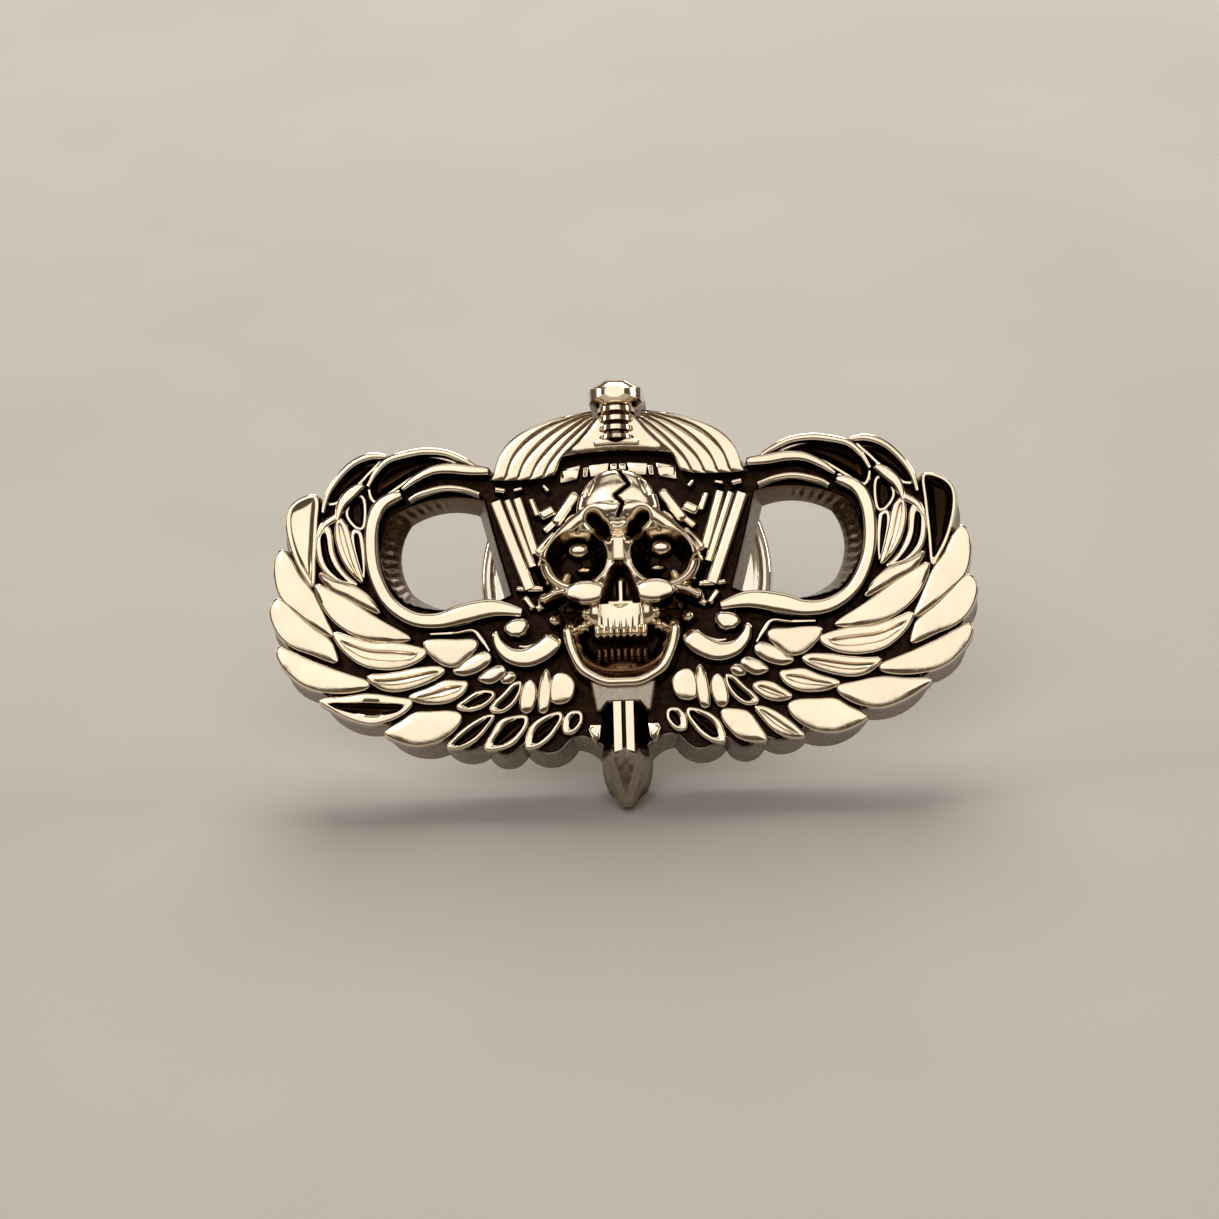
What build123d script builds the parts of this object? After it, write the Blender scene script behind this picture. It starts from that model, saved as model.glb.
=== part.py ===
from build123d import *
import os

# Winged skull-and-dagger pin badge with a butterfly clutch on its post. All lengths in mm.
# X runs to the viewer's right, Z up towards the pommel, the relief faces -Y and the post points +Y.
# The origin is on the post's axis, on the pad's outer face.

# ---- badge levels, measured from the casting's flat back towards the viewer
FLOOR_LEVEL = 1.0
OUTER_FEATHER_LEVEL = 1.55
MIDDLE_FEATHER_LEVEL = 1.8
COVERT_LEVEL = 2.05
RIM_LEVEL = 2.15
CANOPY_LEVEL = 1.9
CANOPY_RIB_LEVEL = 2.2
LINE_LEVEL = 1.85
WALL_DRAFT = 14
FEATHER_DRAFT = 22
OPENING_DRAFT = 17
FEATHER_TIP_ROUND = 0.16

# ---- skull and dagger
DAGGER_LEVEL = 2.4
SKULL_LEVEL = 2.9
PEG_R = 0.45
PEG_DEPTH = 0.5
PEG_SPOTS = [(0, 6.6), (0, -5.4)]

# ---- post
POST_ABOVE_MIDDLE = 1.5
PAD_R = 2.5
PAD_T = 0.4
FOOT_R = 0.5
SHANK_R = 0.7
SHANK_LENGTH = 2.4
POST_R = 0.525
POST_LENGTH = 8.4
POINT_LENGTH = 1.0
GROOVE_AT = 6.7
GROOVE_R = 0.4
FILLET_R = 0.35

# ---- butterfly clutch, heights measured from the pad's outer face
DISC_FRONT = 2.5
DISC_R = 6.0
DISC_T = 0.3
DISC_ROLL_R = 0.36
DISC_HOLE_R = 0.75
CAP_R = 3.4
CAP_T = 0.3
CAP_REAR = 6.0
CAP_SKIRT_R = 4.0
CAP_HOLE_R = 0.8
EAR_SLOT = (1.2, 3.0)
EAR_SLOT_HALF_WIDTH = 1.6
PIVOT_X = 1.75
PIVOT_AT = 4.1
KNUCKLE_R = 0.38
LEVER_HALF_WIDTH = 1.4
LEVER_T = 0.32
JAW_LOW = 3.15
JAW_HIGH = 3.5
JAW_BORE_R = 0.6
EAR_HALF_WIDTH = 2.1
EAR_CENTRE_X = 3.7
EAR_PATH = [(2.15, 5.9), (3.1, 7.0), (4.9, 7.7)]
SPRING_T = 0.16
SPRING_HALF_WIDTH = 0.9

BADGE = Plane(origin=(0, -PAD_T, -POST_ABOVE_MIDDLE), x_dir=(1, 0, 0), z_dir=(0, -1, 0))
REAR = Plane(origin=(0, 0, 0), x_dir=(1, 0, 0), z_dir=(0, 1, 0))

# The badge's front is drawn with its middle at 0, 0, and the post stands a little above that.
# Scallops of the right half's edge from the pommel round to the blade: start, middle and end of each arc.
EDGE_ARCS = [
    ((0, 8.6), (1.08, 8.1), (0.95, 7.36)),
    ((0.95, 7.36), (3.3, 6.85), (5.1, 5.2)),
    ((5.1, 5.2), (7.0, 6.2), (8.9, 5.9)),
    ((8.9, 5.9), (10.6, 5.85), (11.9, 4.5)),
    ((11.9, 4.5), (13.05, 4.0), (13.4, 2.35)),
    ((13.4, 2.35), (13.8, 1.4), (13.6, 0.3)),
    ((13.6, 0.3), (14.0, -0.6), (13.5, -1.7)),
    ((13.5, -1.7), (13.3, -2.9), (12.0, -3.8)),
    ((12.0, -3.8), (11.1, -4.8), (9.5, -5.15)),
    ((9.5, -5.15), (8.6, -5.95), (7.0, -6.0)),
    ((7.0, -6.0), (6.2, -6.4), (5.4, -6.2)),
    ((5.4, -6.2), (4.6, -6.65), (3.9, -6.2)),
    ((3.9, -6.2), (2.9, -6.65), (1.9, -6.0)),
]
BLADE_SHOULDER = (1.0, -6.5)
BLADE_TIP = (0, -8.6)

# Feathers of the right wing: tip, middle of the outer edge, root, middle of the inner edge.
OUTER_FEATHERS = [
    ((12.5, 4.3), (13.35, 2.9), (12.1, 0.8), (12.25, 2.8)),
    ((13.45, 2.1), (13.35, 0.2), (11.4, -1.3), (12.3, 0.5)),
    ((13.7, 0.1), (13.1, -1.6), (11.2, -2.35), (12.2, -1.0)),
    ((13.5, -1.8), (12.3, -3.35), (10.1, -3.4), (11.6, -2.65)),
    ((11.9, -3.85), (10.2, -4.85), (8.4, -4.0), (10.1, -3.9)),
    ((9.35, -5.25), (7.9, -5.8), (6.4, -4.6), (7.7, -4.65)),
    ((6.9, -5.9), (5.75, -5.6), (5.15, -4.7), (6.2, -5.0)),
    ((5.3, -6.1), (4.3, -5.7), (3.8, -4.75), (4.85, -5.1)),
    ((3.7, -6.1), (2.9, -5.6), (2.5, -4.6), (3.5, -5.1)),
    ((2.2, -5.5), (1.75, -5.1), (1.75, -4.6), (2.3, -5.0)),
]
MIDDLE_FEATHERS = [
    ((12.0, 0.65), (10.8, -1.1), (8.35, -1.6), (10.1, -0.3)),
    ((11.3, -1.3), (9.8, -2.6), (7.8, -2.15), (9.6, -1.6)),
    ((10.0, -3.0), (8.9, -3.6), (7.0, -2.85), (8.5, -2.75)),
    ((8.3, -3.85), (7.2, -4.2), (6.1, -3.35), (7.2, -3.45)),
    ((6.5, -4.35), (5.6, -4.4), (5.05, -3.75), (5.9, -3.8)),
    ((5.2, -4.5), (4.45, -4.15), (4.1, -3.4), (4.85, -3.75)),
    ((3.85, -4.6), (3.55, -4.0), (3.8, -3.35), (4.05, -4.0)),
    ((3.1, -4.55), (2.85, -3.8), (3.1, -3.1), (3.4, -3.8)),
    ((2.3, -4.4), (2.0, -3.8), (2.4, -3.2), (2.75, -3.8)),
]
COVERTS = [
    ((7.75, -1.8), (6.8, -2.6), (5.7, -1.95), (6.7, -1.6)),
    ((6.6, -2.9), (5.9, -3.1), (5.15, -2.5), (5.9, -2.4)),
    ((5.6, -3.3), (5.1, -3.4), (4.6, -2.9), (5.1, -2.8)),
    ((11.85, 1.5), (10.8, 0.4), (9.65, -0.4), (10.8, 0.75)),
    ((11.0, 3.6), (10.75, 2.3), (10.15, 0.9), (10.45, 2.4)),
    ((11.75, 3.1), (11.75, 2.0), (10.75, 1.0), (11.2, 2.1)),
    ((10.9, 5.3), (11.55, 4.4), (11.3, 3.5), (10.95, 4.3)),
    ((8.4, 5.6), (9.8, 5.65), (10.4, 4.6), (9.2, 5.1)),
    ((5.9, 5.5), (7.1, 6.0), (8.3, 5.55), (7.1, 5.5)),
]

RIM_LINE = [(4.0, -0.6), (6.0, -0.72), (7.8, -0.95), (9.3, 0.1), (9.85, 1.9), (9.65, 3.4), (8.5, 4.35)]
UPPER_LINE = [(8.6, 4.5), (7.0, 5.1), (5.2, 4.95)]
LOWER_LINE = [(8.5, 4.2), (7.0, 4.45), (5.4, 4.1)]
SCROLL_LINE = [(4.85, -1.3), (4.5, -2.3), (3.7, -2.65), (2.9, -2.3), (2.6, -1.7)]
RIM_WIDTH = 0.42

# Suspension lines of the right half, straight from the hem towards the skull.
SUSPENSION_LINES = [
    ((5.05, 4.2), (4.0, 0.1), 0.5),
    ((4.45, 4.2), (3.35, 0.3), 0.36),
    ((3.75, 4.2), (2.9, 1.9), 0.36),
]

# Opening of the right wing on the casting's back, from its top inner corner.
OPENING_ARCS = [
    ((4.75, 0.25), (6.6, -0.25), (8.35, 0.45)),
    ((8.35, 0.45), (8.85, 1.8), (8.4, 3.3)),
    ((8.4, 3.3), (7.2, 3.75), (5.65, 3.6)),
]

GORE_FOOT_X = [1.9, 2.65, 3.4, 4.1, 4.75]


def both_sides(shapes):
    """The given right-hand shapes with their left-hand mirror images."""
    return shapes + [mirror(shape, about=Plane.YZ) for shape in shapes]


def arc_edges(arcs):
    return [ThreePointArc(*points) for points in arcs]


def flat(edges):
    """The flat shape inside the edges, rebuilt from its border so that it always faces up."""
    return Face(make_face(edges).face().outer_wire())


def feather(points, level):
    """One feather as a drafted pad with rounded ends, rising from inside the floor."""
    tip, outer, root, inner = points
    edges = [ThreePointArc(tip, outer, root), ThreePointArc(root, inner, tip)]
    outline = offset(flat(edges), amount=FEATHER_TIP_ROUND / 2, kind=Kind.ARC)
    base = FLOOR_LEVEL - 0.2
    return Pos(0, 0, base) * extrude(outline, amount=level - base, taper=FEATHER_DRAFT)


def raised_line(points, level, width):
    """A rounded-end band of the given width along a smooth line."""
    line = Spline(*points) if len(points) > 2 else Line(*points)
    band = trace(line, line_width=width)
    ends = [Pos(*points[0]) * Circle(width / 2), Pos(*points[-1]) * Circle(width / 2)]
    base = FLOOR_LEVEL - 0.2
    solids = [extrude(face, amount=level - base) for face in [band] + ends]
    return Pos(0, 0, base) * (solids[0] + solids[1:])


def badge_outline():
    right = arc_edges(EDGE_ARCS)
    right.append(Line(EDGE_ARCS[-1][2], BLADE_SHOULDER))
    right.append(Line(BLADE_SHOULDER, BLADE_TIP))
    return flat(both_sides(right))


def openings():
    """The two through openings, widening towards the front."""
    edges = arc_edges(OPENING_ARCS)
    edges.append(Line(OPENING_ARCS[-1][2], OPENING_ARCS[0][0]))
    right = extrude(flat(edges), amount=3, taper=-OPENING_DRAFT)
    return both_sides([right])


def canopy():
    """The parachute's dome with its straight hem."""
    top = ThreePointArc((-5.0, 4.9), (0, 7.45), (5.0, 4.9))
    hem = Polyline((-5.0, 4.9), (-5.0, 4.5), (5.0, 4.5), (5.0, 4.9))
    body = extrude(flat([top, hem]), amount=CANOPY_LEVEL - FLOOR_LEVEL + 0.2, taper=FEATHER_DRAFT)
    return Pos(0, 0, FLOOR_LEVEL - 0.2) * body


def gore_ribs():
    ribs = []
    for foot_x in GORE_FOOT_X:
        points = [(foot_x * 0.35, 7.0), (foot_x * 0.85, 5.9), (foot_x, 4.7)]
        ribs.append(raised_line(points, CANOPY_RIB_LEVEL, 0.26))
    return both_sides(ribs)


def skull_outline():
    right = [
        ThreePointArc((0, 4.75), (1.35, 4.25), (1.8, 3.1)),
        ThreePointArc((1.8, 3.1), (3.0, 1.9), (2.75, 0.55)),
        ThreePointArc((2.75, 0.55), (3.2, -0.2), (2.5, -0.9)),
        ThreePointArc((2.5, -0.9), (2.25, -2.2), (1.9, -3.5)),
        ThreePointArc((1.9, -3.5), (1.0, -3.75), (0, -3.6)),
    ]
    return flat(both_sides(right))


def dagger_outline():
    right = Polyline(
        (0, 8.55), (0.62, 8.4), (1.0, 7.95), (0.8, 7.4), (0.45, 7.35), (0.45, 6.15), (0.75, 6.1),
        (0.75, 5.85), (0.4, 5.8), (0.4, 0), (0.9, -3.5), (0.85, -4.6), (0.85, -6.5), (0, -8.5),
    )
    return flat([right, mirror(right, about=Plane.YZ)])


def applique_footprint():
    return extrude(skull_outline(), amount=4) + extrude(dagger_outline(), amount=4)


def skull():
    """A frontal skull with round sockets, open nose, cheekbones, two rows of teeth and a jaw."""
    slab = extrude(skull_outline(), amount=1.1, taper=FEATHER_DRAFT)
    block = Pos(0, -1.0, 0.9) * Box(1.9, 3.4, 2.4)
    domes = [
        Pos(0, 2.85, 0.85) * Sphere(1.8),
        Pos(1.9, -0.75, 0.9) * Sphere(0.68),
        Pos(-1.9, -0.75, 0.9) * Sphere(0.68),
        Pos(1.25, -3.05, 0.75) * Sphere(0.62),
        Pos(-1.25, -3.05, 0.75) * Sphere(0.62),
    ]
    rims = [Pos(side * 1.5, 1.3, 1.3) * Torus(1.05, 0.36) for side in (-1, 1)]
    cheeks = [Pos(side * 2.3, 0.02, 1.2) * Rot(0, 90, 0) * Cylinder(0.36, 1.6) for side in (-1, 1)]
    teeth = [
        Pos(0.29 * (n - 2.5), z, 2.05) * Cylinder(0.13, 0.6, rotation=(90, 0, 0))
        for n in range(6)
        for z in (-1.85, -2.5)
    ]
    head = slab + [block] + domes + rims + cheeks + teeth
    sockets = [Pos(side * 1.5, 1.3, 2.0) * Sphere(0.95) for side in (-1, 1)]
    nose_hole = flat(Polyline((-0.5, -0.45), (0, 1.0), (0.5, -0.45), (-0.5, -0.45)))
    nose = Pos(0, 0, 1.2) * extrude(nose_hole, amount=2)
    head = head - sockets - nose
    clip = extrude(skull_outline(), amount=SKULL_LEVEL - FLOOR_LEVEL + 0.6)
    return Pos(0, 0, FLOOR_LEVEL) * (head & clip)


def dagger():
    """Pommel, ringed grip, guard and a bevelled blade, half sunk in the skull."""
    base = extrude(dagger_outline(), amount=DAGGER_LEVEL - FLOOR_LEVEL - 0.5)
    ridge = extrude(offset(dagger_outline(), amount=-0.05), amount=DAGGER_LEVEL - FLOOR_LEVEL, taper=20)
    return Pos(0, 0, FLOOR_LEVEL) * (base + ridge)


def applique():
    pegs = [
        Pos(x, y, FLOOR_LEVEL - PEG_DEPTH / 2) * Cylinder(PEG_R, PEG_DEPTH)
        for x, y in PEG_SPOTS
    ]
    return skull() + [dagger()] + pegs


def plate():
    body = extrude(badge_outline(), amount=FLOOR_LEVEL, taper=WALL_DRAFT)
    raised = [feather(points, OUTER_FEATHER_LEVEL) for points in OUTER_FEATHERS]
    raised += [feather(points, MIDDLE_FEATHER_LEVEL) for points in MIDDLE_FEATHERS]
    raised += [feather(points, COVERT_LEVEL) for points in COVERTS]
    raised.append(raised_line(RIM_LINE, RIM_LEVEL, RIM_WIDTH))
    raised.append(raised_line(UPPER_LINE, RIM_LEVEL, RIM_WIDTH))
    raised.append(raised_line(LOWER_LINE, LINE_LEVEL, RIM_WIDTH * 0.7))
    raised.append(raised_line(SCROLL_LINE, RIM_LEVEL, RIM_WIDTH))
    for top, foot, width in SUSPENSION_LINES:
        raised.append(raised_line([top, foot], LINE_LEVEL, width))
    body = body + both_sides(raised)
    body = body + [canopy()] + gore_ribs()
    body = body - openings()
    body = body - Pos(0, 0, FLOOR_LEVEL) * applique_footprint()
    for x, y in PEG_SPOTS:
        body = body - Pos(x, y, FLOOR_LEVEL - PEG_DEPTH / 2) * Cylinder(PEG_R, PEG_DEPTH)
    return body


def post_pad():
    """Round pad on the casting's back, with a hole the post's foot fills."""
    disc = Pos(0, 0, -PAD_T / 2) * Cylinder(PAD_R, PAD_T)
    disc = chamfer(disc.edges().group_by(Axis.Z)[-1], 0.1)
    return disc - Pos(0, 0, -PAD_T / 2) * Cylinder(FOOT_R, PAD_T)


def post_pin():
    """Post: foot in the pad, shank for the cloth, thinner end with a groove and a point."""
    profile = Polyline(
        (0, -PAD_T),
        (FOOT_R, -PAD_T),
        (FOOT_R, 0),
        (SHANK_R, 0),
        (SHANK_R, SHANK_LENGTH - 0.1),
        (POST_R, SHANK_LENGTH),
        (POST_R, GROOVE_AT - 0.25),
        (GROOVE_R, GROOVE_AT - 0.1),
        (GROOVE_R, GROOVE_AT + 0.1),
        (POST_R, GROOVE_AT + 0.25),
        (POST_R, POST_LENGTH - POINT_LENGTH),
        (0.06, POST_LENGTH),
        (0, POST_LENGTH),
        (0, -PAD_T),
    )
    return revolve(make_face(Plane.XZ * profile), axis=Axis.Z)


def pad_braze():
    """Fillet of brazing metal between the casting's back and the pad's edge."""
    foot = (PAD_R + FILLET_R, -PAD_T)
    crest = (PAD_R, -PAD_T + FILLET_R * 0.75)
    middle = (PAD_R + FILLET_R * 0.3, -PAD_T + FILLET_R * 0.25)
    edges = [ThreePointArc(foot, middle, crest), Polyline(crest, (PAD_R, -PAD_T), foot)]
    return revolve(Plane.XZ * make_face(edges), axis=Axis.Z)


def clutch_disc():
    """Front disc with a rolled rim and a collar round the post hole."""
    back = DISC_FRONT + DISC_T
    face = Polyline(
        (DISC_HOLE_R, DISC_FRONT),
        (1.4, DISC_FRONT + 0.12),
        (4.6, DISC_FRONT),
        (5.2, DISC_FRONT + 0.12),
        (DISC_R - DISC_ROLL_R, DISC_FRONT + 0.12),
        (DISC_R - DISC_ROLL_R, back + 0.12),
        (5.1, back + 0.12),
        (4.6, back),
        (DISC_HOLE_R, back),
        (DISC_HOLE_R, DISC_FRONT),
    )
    disc = revolve(make_face(Plane.XZ * face), axis=Axis.Z)
    roll = Pos(0, 0, DISC_FRONT + DISC_ROLL_R) * Torus(DISC_R - DISC_ROLL_R, DISC_ROLL_R)
    return disc + roll


def clutch_cap():
    """Drawn cover seated on the disc's back, with a slot for each ear and a hole for the post's end."""
    seat = DISC_FRONT + DISC_T
    wall = CAP_R - CAP_T
    profile = Polyline(
        (wall, seat),
        (CAP_SKIRT_R, seat),
        (CAP_SKIRT_R, seat + CAP_T),
        (CAP_R, seat + CAP_T),
        (CAP_R, CAP_REAR - 0.5),
        (CAP_R - 0.5, CAP_REAR),
        (CAP_HOLE_R, CAP_REAR),
        (CAP_HOLE_R, CAP_REAR - CAP_T),
        (CAP_R - 0.62, CAP_REAR - CAP_T),
        (wall, CAP_REAR - 0.62),
        (wall, seat),
    )
    shell = revolve(make_face(Plane.XZ * profile), axis=Axis.Z)
    inner, outer = EAR_SLOT
    slot = Pos((inner + outer) / 2, 0, CAP_REAR) * Box(outer - inner, 2 * EAR_SLOT_HALF_WIDTH, 1.6)
    return shell - both_sides([slot])


def lever():
    """Right-hand lever: knuckle on the pivot, jaw bearing on the post, ear out through the cap."""
    knuckle = Pos(PIVOT_X, 0, PIVOT_AT) * Rot(90, 0, 0) * Cylinder(KNUCKLE_R, 2 * LEVER_HALF_WIDTH)
    jaw_bar = make_face(
        Polyline(
            (PIVOT_X - 0.3, PIVOT_AT - 0.2),
            (PIVOT_X + 0.05, PIVOT_AT - 0.3),
            (PIVOT_X - 0.25, JAW_LOW),
            (0.3, JAW_LOW),
            (0.3, JAW_HIGH),
            (PIVOT_X - 0.5, JAW_HIGH),
            (PIVOT_X - 0.3, PIVOT_AT - 0.2),
        )
    )
    jaw = extrude(Plane.XZ * jaw_bar, amount=LEVER_HALF_WIDTH, both=True)
    jaw = jaw - Cylinder(JAW_BORE_R, 20)
    stem_line = Polyline((PIVOT_X + 0.1, PIVOT_AT), EAR_PATH[0])
    stem = extrude(Plane.XZ * trace(stem_line, line_width=LEVER_T), amount=LEVER_HALF_WIDTH, both=True)
    ear_line = ThreePointArc(*EAR_PATH)
    ear = extrude(Plane.XZ * trace(ear_line, line_width=LEVER_T), amount=EAR_HALF_WIDTH, both=True)
    shape = Pos(EAR_CENTRE_X, 0, 7) * (Cylinder(EAR_HALF_WIDTH, 6) + Pos(-1.5, 0, 0) * Box(3.0, 2 * LEVER_HALF_WIDTH, 6))
    return knuckle + jaw + stem + (ear & shape)


def spring():
    """Bowed strip lying over the post's sides inside the cap, bearing outwards on both levers."""
    half = PIVOT_X - KNUCKLE_R - 0.12
    arch = ThreePointArc((-half, PIVOT_AT), (0, PIVOT_AT + 1.15), (half, PIVOT_AT))
    strip = extrude(Plane.XZ * trace(arch, line_width=SPRING_T), amount=SPRING_HALF_WIDTH, both=True)
    return strip - Cylinder(CAP_HOLE_R, 20)


os.makedirs("parts", exist_ok=True)
export_step(BADGE * plate(), "parts/wings_canopy_plate.step")
export_step(BADGE * applique(), "parts/skull_dagger_applique.step")
export_step(REAR * post_pad(), "parts/post_pad.step")
export_step(REAR * post_pin(), "parts/post_pin.step")
export_step(REAR * pad_braze(), "parts/pad_braze.step")
export_step(REAR * clutch_disc(), "parts/clutch_disc.step")
export_step(REAR * clutch_cap(), "parts/clutch_cap.step")
export_step(REAR * spring(), "parts/clutch_spring.step")
export_step(REAR * lever(), "parts/clutch_lever_right.step")
export_step(REAR * mirror(lever(), about=Plane.YZ), "parts/clutch_lever_left.step")
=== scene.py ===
import math

import bmesh
import bpy
import numpy as np
from mathutils import Matrix, Vector


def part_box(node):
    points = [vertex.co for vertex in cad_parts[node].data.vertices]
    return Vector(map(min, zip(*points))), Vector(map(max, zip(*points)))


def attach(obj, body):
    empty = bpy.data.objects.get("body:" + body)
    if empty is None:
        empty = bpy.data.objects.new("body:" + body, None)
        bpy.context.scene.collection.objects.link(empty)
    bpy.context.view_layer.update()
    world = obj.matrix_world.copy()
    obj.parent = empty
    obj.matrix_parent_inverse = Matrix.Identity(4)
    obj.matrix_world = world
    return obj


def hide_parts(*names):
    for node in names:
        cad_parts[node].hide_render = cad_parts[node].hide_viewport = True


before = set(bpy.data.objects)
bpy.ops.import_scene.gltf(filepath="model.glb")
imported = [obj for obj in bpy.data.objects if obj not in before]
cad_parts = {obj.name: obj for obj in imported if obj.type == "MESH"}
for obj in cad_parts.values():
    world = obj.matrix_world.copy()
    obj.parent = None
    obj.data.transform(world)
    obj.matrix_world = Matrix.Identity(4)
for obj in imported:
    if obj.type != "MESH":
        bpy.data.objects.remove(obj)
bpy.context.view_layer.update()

# The badge is drawn in millimetres as (x, z, h): x to the right, z up from the badge's middle and h
# forwards from the casting's flat back. spot() turns that into metres in the shared frame.
MM = 0.001
BLADE_TIP_Z = -8.6
BACK_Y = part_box("wings_canopy_plate")[1].y
MIDDLE_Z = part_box("wings_canopy_plate")[0].z - BLADE_TIP_Z * MM
# Heights of the recessed ground under the relief, of the rim round it and of the relief's own feet.
FLOOR_H = 1.22
WALL_TOP_H = 1.36
FOOT_H = FLOOR_H - 0.1

# Points on each of an opening's four sides, and the upright flutes in its wall.
OPENING_STEPS = 40
FLUTE_PITCH = 0.42
FLUTE_DEPTH = 0.045

# Scallops of the right half's back edge from the pommel round to the blade: start, middle, end.
EDGE_ARCS = [
    ((0, 8.6), (1.08, 8.1), (0.95, 7.36)),
    ((0.95, 7.36), (3.3, 6.85), (5.1, 5.2)),
    ((5.1, 5.2), (7.0, 6.2), (8.9, 5.9)),
    ((8.9, 5.9), (10.6, 5.85), (11.9, 4.5)),
    ((11.9, 4.5), (13.05, 4.0), (13.4, 2.35)),
    ((13.4, 2.35), (13.8, 1.4), (13.6, 0.3)),
    ((13.6, 0.3), (14.0, -0.6), (13.5, -1.7)),
    ((13.5, -1.7), (13.3, -2.9), (12.0, -3.8)),
    ((12.0, -3.8), (11.1, -4.8), (9.5, -5.15)),
    ((9.5, -5.15), (8.6, -5.95), (7.0, -6.0)),
    ((7.0, -6.0), (6.2, -6.4), (5.4, -6.2)),
    ((5.4, -6.2), (4.6, -6.65), (3.9, -6.2)),
    ((3.9, -6.2), (2.9, -6.65), (1.9, -6.0)),
    ((1.9, -6.0), (1.4, -6.15), (1.0, -6.5)),
    ((1.0, -6.5), (0.8, -7.6), (0, -8.6)),
]

# The right wing's opening, on the back and at the front edge of its sloping wall.
OPENING_BACK = [
    ((4.75, 0.25), (6.6, -0.25), (8.35, 0.45)),
    ((8.35, 0.45), (8.85, 1.8), (8.4, 3.3)),
    ((8.4, 3.3), (7.2, 3.75), (5.65, 3.6)),
    ((5.65, 3.6), (5.2, 1.92), (4.75, 0.25)),
]
OPENING_FRONT = [
    ((4.35, 0.1), (6.4, -0.42), (8.55, -0.1)),
    ((8.55, -0.1), (9.5, 1.8), (9.0, 3.5)),
    ((9.0, 3.5), (7.4, 4.05), (5.35, 3.95)),
    ((5.35, 3.95), (4.9, 2.1), (4.35, 0.1)),
]

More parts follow.
